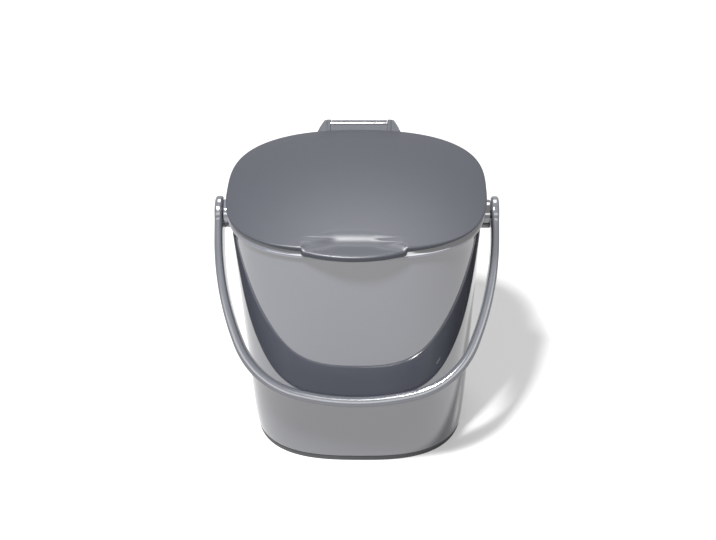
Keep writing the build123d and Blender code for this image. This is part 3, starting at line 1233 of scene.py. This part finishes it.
@dataclass
class Lid:
    """Domed lid with a scooped finger tab in front, a hinge ramp behind, a liner and a seal."""

    half_width: float = 107.9
    half_depth: float = 95.5
    skirt_bottom: float = 225.1
    skirt: float = 6.0
    dome_rise: float = 7.6
    skirt_trim: float = 1.2
    shoulder_radius: float = 2.8
    edge_radius: float = 0.9
    wall: float = 2.4
    tab_half_width: float = 42.5
    tab_reach: float = 8.0
    tab_side_reach: float = 1.4
    tab_top: float = 227.7
    tab_flat: float = 10.5
    tab_bottom: float = 222.9
    lip_width: float = 2.8
    tab_corner: float = 3.0
    tab_edge: float = 2.2
    tab_wall_width: float = 1.8
    scoop_fade: float = 30.0
    scoop_slope: float = 36.0
    scoop_top_blend: float = 20.0
    scoop_foot_blend: float = 12.0
    bead: Point2 = (106.6, 94.2)
    rim_gap: float = 0.8
    hinge: Point2 = (105.7, 231.2)
    rod_radius: float = 2.0
    rod_half: float = 28.4
    rod_exposed: float = 25.2
    arm_thickness: float = 3.8
    arm_radius: float = 3.6
    ramp_half_width: float = 36.6
    ramp_height: float = 4.0
    ramp_slope: float = 30.0
    ramp_back: float = 101.55
    ramp_edge: float = 0.9
    liner: float = 1.8
    plug: Point2 = (101.3, 88.9)
    plug_depth: float = 9.0
    seal_top: float = 221.6
    seal_height: float = 3.0
    seal_groove: float = 0.9
    seal_clearance: float = 0.3
    straight_front: float = 60.0
    lip_place: int = 36
    dome_steps: list[float] = field(default_factory=lambda: spread(0, 0.62, 14))

    @property
    def apex(self) -> float:
        """Height of the top of the dome."""
        return self.skirt_bottom + self.skirt + self.dome_rise

    def dome(self, across: float, along: float) -> float:
        """Height of the dome over a place.

        Args:
            across: Distance from the middle along X.
            along: Distance from the middle along Y.

        Returns:
            The height above the table.
        """
        radius = (self.half_depth**2 + self.dome_rise**2) / (2 * self.dome_rise)
        return self.apex - radius + math.sqrt(radius**2 - across**2 - along**2)

    def tab_front(self, across: float) -> float:
        """Distance from the middle to the tab's bowed front edge, its corners rounded off."""
        side = self.half_depth + self.tab_side_reach - self.tab_corner
        bow = self.half_depth + self.tab_reach - side
        radius = (self.tab_half_width**2 + bow**2) / (2 * bow)
        front = side - (radius - bow) + math.sqrt(radius**2 - across**2)
        past = max(0.0, abs(across) - (self.tab_half_width - self.tab_corner))
        return front - (self.tab_corner - math.sqrt(max(0.0, self.tab_corner**2 - past**2)))

    def front_stations(self) -> list[float]:
        """Places along X of the front lines, close together at the ends of the tab."""
        edge = self.tab_half_width
        fine = [edge - 3.2, edge - 2.6] + spread(edge - self.tab_wall_width - 0.4, edge + 0.4, 14)
        coarse = spread(0, edge - 4.0, 22)
        outer = spread(edge + 1.2, self.straight_front + 4, 12)
        half = coarse + fine + outer
        return [-value for value in reversed(half[1:])] + half

    def edge_points(self) -> list[tuple[float, float, float]]:
        """Where each line of the lid's mesh meets the plan outline, and how straight out it runs.

        Returns:
            Across, along and a share from 0, radial, to 1, parallel to Y, for each line.
        """
        stations = self.front_stations()
        points = []
        for across in stations:
            along = -PLAN.depth_at(across, self.half_width, self.half_depth)
            past = (abs(across) - self.tab_half_width - 2) / (self.straight_front - self.tab_half_width)
            points.append((across, along, 1 - ease(past)))
        last = math.atan2(points[-1][1], points[-1][0])
        first = math.atan2(points[0][1], points[0][0]) + 2 * math.pi
        for turn in spread(last, first, 210)[1:-1]:
            reach = PLAN.reach(turn, self.half_width, self.half_depth)
            points.append((reach * math.cos(turn), reach * math.sin(turn), 0.0))
        return points

    def line(self, across: float, along: float, straight: float) -> list[Point3]:
        """The points of one line: from the crown over the edge and back under to the middle.

        Args:
            across: Where the line meets the plan outline, along X.
            along: The same, along Y.
            straight: Share from 0, radial, to 1, parallel to Y near the edge.

        Returns:
            Points in millimetres, as many for every line.
        """
        reach = math.hypot(across, along)
        inward = Vector((-across / reach, -along / reach)).lerp(Vector((0.0, 1.0)), straight).normalized()
        edge = Vector((across, along))
        bend = 30.0
        root = edge + inward * bend
        points: list[Point3] = []
        for share in self.dome_steps:
            spot = root * (share / self.dome_steps[-1])
            points.append((spot.x, spot.y, self.dome(spot.x, spot.y)))
        closed = self.closed_profile(edge, inward, bend)
        past_end = self.tab_half_width + 0.2 - abs(across)
        profile = closed
        if along < 0 < past_end:
            profile = []
            for place, (shut, opened) in enumerate(zip(closed, self.tab_profile(across, bend))):
                inside = ease((opened[0] + self.wall) / self.tab_flat) if place < self.lip_place else 0.0
                share = ease(past_end / blend(self.tab_wall_width, self.scoop_fade, inside))
                profile.append((blend(shut[0], opened[0], share), blend(shut[1], opened[1], share)))
        for inset, height in profile:
            spot = edge + inward * inset
            points.append((spot.x, spot.y, height))
        for share in reversed(self.dome_steps[:-1]):
            spot = root * (share / self.dome_steps[-1])
            points.append((spot.x, spot.y, self.dome(spot.x, spot.y) - self.wall))
        return points

    def closed_profile(self, edge: Vector, inward: Vector, bend: float) -> list[Point2]:
        """Section through the ordinary edge: (inset from the outline, height) pairs."""

        def top(inset: float) -> Point2:
            """A point of the dome at an inset."""
            spot = edge + inward * inset
            return (inset, self.dome(spot.x, spot.y))

        low = self.skirt_bottom + self.skirt_trim
        ceiling = max(low + 0.5, top(self.wall)[1] - self.wall)
        return rounded_path(
            [
                (top(bend), 0.0),
                (top(13.5), 0.0),
                (top(7.0), 0.0),
                (top(0.0), self.shoulder_radius),
                ((0.0, low), self.edge_radius),
                ((self.wall, low), 0.3),
                ((self.wall, blend(low, ceiling, 0.5)), 0.0),
                ((self.wall, ceiling), 0.8),
                ((bend * 0.6, top(bend * 0.6)[1] - self.wall), 0.0),
                ((bend, top(bend)[1] - self.wall), 0.0),
            ],
            9,
            3,
        )

    def tab_profile(self, across: float, bend: float) -> list[Point2]:
        """Section through the tab: the scoop, the flat, the lip and the underside."""
        outline = PLAN.depth_at(across, self.half_width, self.half_depth)

        def inset(distance: float) -> float:
            """Inset of a place at a distance from the middle along Y."""
            return outline - distance

        corner = self.half_depth - self.tab_flat
        drop = self.dome(across, corner - 6.0) - self.tab_top
        brow = corner - drop / math.tan(math.radians(self.scoop_slope))
        front = self.tab_front(across)
        bead = PLAN.depth_at(across, *self.bead) + self.rim_gap
        lip_back = max(front - self.lip_width, bead)
        under = corner - self.wall
        return rounded_path(
            [
                ((bend, self.dome(across, outline - bend)), 0.0),
                ((inset(brow), self.dome(across, brow)), self.scoop_top_blend),
                ((inset(corner), self.tab_top), self.scoop_foot_blend),
                ((inset(front), self.tab_top), self.tab_edge),
                ((inset(front), self.tab_bottom), 0.7),
                ((inset(lip_back), self.tab_bottom), 0.4),
                ((inset(lip_back), self.skirt_bottom), 0.3),
                ((inset(under), self.skirt_bottom), 0.3),
                ((inset(brow - 1.2), self.dome(across, brow) - self.wall), 0.0),
                ((bend, self.dome(across, outline - bend) - self.wall), 0.0),
            ],
            9,
            3,
        )

    def cover(self) -> bpy.types.Object:
        """The domed shell with its tab."""
        lines = [self.line(*edge) for edge in self.edge_points()]
        points = [point for line in lines for point in line]
        faces = grid_faces(len(lines), len(lines[0]), True, False)
        return make_object("cover", points, faces)

    def ramp_section(self, across: float, back: float, inset: float) -> list[Point3]:
        """One upright section of the hinge ramp.

        Args:
            across: Place along X.
            back: How far the section reaches along Y.
            inset: How far its edges are drawn in.

        Returns:
            The closed section's points.
        """
        hinge_y, hinge_z = self.hinge
        slope = math.radians(self.ramp_slope)
        front = self.half_depth - self.wall / 2 - 2.0
        radius = self.arm_radius - inset
        top_start = (front, self.skirt_bottom + self.ramp_height - inset)
        top_end = (hinge_y - radius * math.sin(slope), hinge_z + radius * math.cos(slope))
        low_end = (hinge_y + radius * math.sin(slope), hinge_z - radius * math.cos(slope))
        low_start = (self.half_depth + self.edge_radius, self.skirt_bottom + inset)
        outline = [(front, self.skirt_bottom + inset), top_start]
        outline += [tuple(Vector(top_start).lerp(Vector(top_end), share)) for share in spread(0.15, 1, 7)]
        for turn in spread(90 + self.ramp_slope, -90 + self.ramp_slope, 15)[1:-1]:
            angle = math.radians(turn)
            outline.append((hinge_y + radius * math.cos(angle), hinge_z + radius * math.sin(angle)))
        outline += [tuple(Vector(low_end).lerp(Vector(low_start), share)) for share in spread(0, 1, 7)]
        limit = back - inset
        section = []
        for y, z in outline:
            if y > limit:
                top = self._height_on(top_start, top_end, limit)
                low = self._height_on(low_start, low_end, limit)
                y, z = limit, min(max(z, low), top)
            section.append((across, y, z))
        return section

    @staticmethod
    def _height_on(start: Point2, end: Point2, place: float) -> float:
        """Height of a sloping line at a place along Y, level before its start."""
        share = (place - start[0]) / (end[0] - start[0])
        return blend(start[1], end[1], max(0.0, min(1.0, share)))

    def ramp(self) -> bpy.types.Object:
        """The ramp behind the lid with its two arms round the rod."""
        arm_outer = self.rod_exposed + self.arm_thickness
        full = self.hinge[0] + self.arm_radius
        edge = self.ramp_edge
        half: list[tuple[float, float, float]] = []
        for turn in spread(0, math.pi / 2, 5):
            half.append((self.ramp_half_width - edge * (1 - math.cos(turn)), self.half_depth, edge * (1 - math.sin(turn))))
        half.reverse()
        half = [(x, self.half_depth + 0.0, inset) for x, _, inset in half]
        outer = [(x, y, inset) for x, y, inset in half]
        slanted = []
        for share in spread(0, 1, 6)[1:]:
            slanted.append((blend(self.ramp_half_width, arm_outer, share), blend(self.half_depth, full, share), 0.25))
        arm = []
        for turn in spread(0, math.pi / 2, 5):
            arm.append((arm_outer - 0.1 - 0.8 * math.sin(turn), full, 0.25 * (1 - math.sin(turn))))
        inner = []
        for turn in spread(0, math.pi / 2, 5):
            inner.append((self.rod_exposed + 0.6 * (1 - math.sin(turn)), full, 0.6 * (1 - math.cos(turn))))
        plate = [(self.rod_exposed, self.ramp_back, 0.6), (self.rod_exposed - 0.01, self.ramp_back, 0.3)]
        stations = list(reversed(outer)) + slanted + arm + inner + plate
        right = [self.ramp_section(*station) for station in stations]
        left = [self.ramp_section(-x, back, inset) for x, back, inset in reversed(stations)]
        return tube_between("ramp", right + left)

    def liner_piece(self, shop: Workshop) -> bpy.types.Object:
        """The flat inner panel with its plug wall, before build cuts it back under the scoop."""
        top = self.skirt_bottom + self.liner
        outer = (self.half_width - self.wall, self.half_depth - self.wall)
        plug_bottom = self.skirt_bottom - self.plug_depth
        groove_bottom = self.seal_top - self.seal_height
        wide = outer[0] - self.plug[0]
        path = rounded_path(
            [
                ((60.0, top), 0.0),
                ((14.0 - wide, top), 0.3),
                ((-wide, self.skirt_bottom + 0.6), 0.2),
                ((-wide, self.skirt_bottom), 0.2),
                ((0.0, self.skirt_bottom), 0.4),
                ((0.0, self.seal_top), 0.1),
                ((self.seal_groove, self.seal_top), 0.1),
                ((self.seal_groove, groove_bottom), 0.1),
                ((0.0, groove_bottom), 0.2),
                ((0.0, plug_bottom), 0.9),
                ((2 * self.liner, plug_bottom), 0.9),
                ((2 * self.liner, self.skirt_bottom), 1.5),
                ((60.0, self.skirt_bottom), 0.0),
            ],
            5,
            2,
        )
        levels = [(self.plug[0] - inset, self.plug[1] - inset, height) for inset, height in path]
        return shop.sweep("lid_liner_panel", [Bucket.pole(top)] + levels + [Bucket.pole(self.skirt_bottom)], FinishName.LINER)

    def scoop_clearance(self) -> bpy.types.Object:
        """The wedge that the scoop takes out of the liner."""
        corner = self.half_depth - self.tab_flat - self.wall
        rise = self.liner + 1.0
        low, high = self.skirt_bottom - 0.001, self.skirt_bottom + rise
        back = corner - rise / math.tan(math.radians(self.scoop_slope))
        outline = [(-self.half_depth - 5, low), (-corner, low), (-back, high), (-self.half_depth - 5, high)]
        half = self.tab_half_width + self.wall
        return tube_between("wedge", [[(across, y, z) for y, z in outline] for across in (-half, half)])

    def seal_profile(self) -> list[Point3]:
        """Closed section of the soft seal, with a rounded outer face."""
        low = self.seal_top - self.seal_height
        bucket = Bucket()
        wall = bucket.half_sizes(low, bucket.wall)
        outer = (wall[0] - self.seal_clearance, wall[1] - self.seal_clearance)
        seat = self.plug[0] - self.seal_groove
        width = outer[0] - seat
        path = rounded_path(
            [
                ((width, low + self.seal_height / 2), 0.0),
                ((width, low), 0.1),
                ((0.0, low), 0.9),
                ((0.0, self.seal_top), 0.9),
                ((width, self.seal_top), 0.1),
                ((width, low + self.seal_height / 2), 0.0),
            ],
            6,
            2,
        )
        return [(outer[0] - inset, outer[1] - inset, height) for inset, height in path]

    def rod(self) -> bpy.types.Object:
        """The round steel bar of the hinge."""
        profile = rounded_path(
            [
                ((-self.rod_half, 0.0), 0.0),
                ((-self.rod_half, self.rod_radius), 0.4),
                ((self.rod_half, self.rod_radius), 0.4),
                ((self.rod_half, 0.0), 0.0),
            ],
            5,
            6,
        )
        return turned("hinge_rod_bar", profile, (0.0, *self.hinge), 1, 48)

    def build(self, shop: Workshop) -> None:
        """Makes and dresses the lid's pieces."""
        cover = join("lid_cover_shell", [self.cover(), self.ramp()])
        shop.dress(cover, FinishName.LID, "lid", "lid_cover")
        liner = self.liner_piece(shop)
        boolean(liner, self.scoop_clearance(), Cut.TAKE_AWAY)
        shop.dress(liner, FinishName.LINER, "lid", "lid_liner")
        seal = shop.sweep("lid_seal_ring", self.seal_profile(), FinishName.SEAL)
        shop.dress(seal, FinishName.SEAL, "lid", "lid_seal")
        shop.dress(self.rod(), FinishName.ROD, "lid", "hinge_rod")


# ---------------------------------------------------------------------------------------------------------
# Studio
# ---------------------------------------------------------------------------------------------------------


@dataclass(frozen=True)
class Softbox:
    """One rectangular studio lamp. Distances are metres."""

    name: str
    towards: Point3
    distance: float
    width: float
    height: float
    power: float

    def build(self, target: Vector) -> bpy.types.Object:
        """Makes the lamp.

        Args:
            target: The point that it faces.

        Returns:
            The lamp object.
        """
        data = bpy.data.lights.new(self.name, "AREA")
        data.shape = "RECTANGLE"
        data.size = self.width
        data.size_y = self.height
        data.energy = self.power
        lamp = bpy.data.objects.new(self.name, data)
        lamp.location = target + Vector(self.towards).normalized() * self.distance
        lamp.rotation_euler = (target - lamp.location).to_track_quat("-Z", "Y").to_euler()
        lamp.visible_camera = False
        bpy.context.scene.collection.objects.link(lamp)
        return lamp


@dataclass
class Studio:
    """Floor, surroundings, lamps and the camera at the photograph's viewing angle."""

    azimuth: float = 1.75
    elevation: float = 34.25
    roll: float = -0.82
    distance: float = 1267.9
    target: Point3 = (0.3, -2.9, 147.4)
    focal_pixels: float = 1471.47
    image_width: float = 716.0
    sensor: float = 36.0
    floor_half: float = 4.0
    floor_colour: float = 0.24
    floor_glow: float = 0.38
    glow_near: float = 0.7
    glow_far: float = 1.8
    world_fill: float = 0.27
    lamps: tuple[Softbox, ...] = (
        Softbox("key_lamp", (-0.20, -0.40, 0.90), 1.9, 0.22, 0.22, 170.0),
        Softbox("front_lamp", (0.05, -0.9, 0.56), 1.8, 5.0, 0.45, 27.0),
        Softbox("top_lamp", (0.0, 0.50, 0.87), 1.8, 0.8, 0.8, 21.0),
    )

    def build(self) -> None:
        """Makes everything round the object."""
        self.camera()
        self.floor()
        self.world()
        for lamp in self.lamps:
            lamp.build(Vector((0.0, 0.0, 0.12)))
        bpy.context.scene.view_settings.view_transform = "Standard"

    def camera(self) -> None:
        """Sets the camera."""
        around, above, roll = (math.radians(value) for value in (self.azimuth, self.elevation, self.roll))
        back = Vector((math.sin(around) * math.cos(above), -math.cos(around) * math.cos(above), math.sin(above)))
        right = Vector((math.cos(around), math.sin(around), 0.0))
        upward = back.cross(right)
        rolled_right = right * math.cos(roll) + upward * math.sin(roll)
        rolled_up = upward * math.cos(roll) - right * math.sin(roll)
        data = bpy.data.cameras.new("camera")
        data.sensor_width = self.sensor
        data.lens = self.focal_pixels * self.sensor / self.image_width
        camera = bpy.data.objects.new("camera", data)
        place = Vector(self.target) * MM + back * self.distance * MM
        turn = Matrix((rolled_right, rolled_up, back)).transposed()
        camera.matrix_world = Matrix.Translation(place) @ turn.to_4x4()
        bpy.context.scene.collection.objects.link(camera)
        bpy.context.scene.camera = camera

    def floor(self) -> None:
        """The plain pale floor."""
        half = self.floor_half / MM
        corners = [(-half, -half, 0.0), (half, -half, 0.0), (half, half, 0.0), (-half, half, 0.0)]
        floor = make_object("studio_floor", corners, [(0, 1, 2, 3)])
        material = bpy.data.materials.new("studio_floor")
        material.use_nodes = True
        nodes = Nodes(material.node_tree)
        shader = material.node_tree.nodes["Principled BSDF"]
        shader.inputs["Base Color"].default_value = (self.floor_colour,) * 3 + (1.0,)
        shader.inputs["Roughness"].default_value = 0.9
        shader.inputs["Specular IOR Level"].default_value = 0.0
        path = nodes.add("ShaderNodeLightPath")
        seen = nodes.math("MAXIMUM", path.outputs["Is Camera Ray"], path.outputs["Is Glossy Ray"])
        seen = nodes.math("MAXIMUM", seen, path.outputs["Is Transmission Ray"])
        away = nodes.add("ShaderNodeVectorMath", {0: nodes.add("ShaderNodeTexCoord").outputs["Object"]}, operation="LENGTH")
        far = nodes.add(
            "ShaderNodeMapRange",
            {
                "Value": away.outputs["Value"],
                "From Min": self.glow_near,
                "From Max": self.glow_far,
                "To Min": self.floor_glow,
                "To Max": 1.0,
            },
        )
        glow = nodes.math("MULTIPLY", seen, far.outputs[0])
        shader.inputs["Emission Color"].default_value = (1.0, 1.0, 1.0, 1.0)
        nodes.feed(shader.inputs["Emission Strength"], glow)
        floor.data.materials.append(material)

    def world(self) -> None:
        """Even surroundings, white where they are seen directly or in a reflection."""
        world = bpy.data.worlds.new("studio")
        world.use_nodes = True
        world.node_tree.nodes.clear()
        nodes = Nodes(world.node_tree)
        path = nodes.add("ShaderNodeLightPath")
        seen = nodes.math("MAXIMUM", path.outputs["Is Camera Ray"], path.outputs["Is Glossy Ray"])
        seen = nodes.math("MAXIMUM", seen, path.outputs["Is Transmission Ray"])
        strength = nodes.add("ShaderNodeMapRange", {"Value": seen, "To Min": self.world_fill, "To Max": 1.0})
        shader = nodes.add("ShaderNodeBackground", {"Color": (1, 1, 1, 1), "Strength": strength.outputs[0]})
        out = nodes.add("ShaderNodeOutputWorld")
        nodes.feed(out.inputs["Surface"], shader.outputs[0])
        bpy.context.scene.world = world


def main() -> None:
    """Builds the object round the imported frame, and the studio round it."""
    logging.basicConfig(level=logging.INFO, format="%(name)s: %(message)s")
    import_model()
    shop = Workshop()
    Bucket().build(shop)
    Studs().build(shop)
    Handle().build(shop)
    Lid().build(shop)
    Studio().build()


if __name__ == "__main__":
    main()
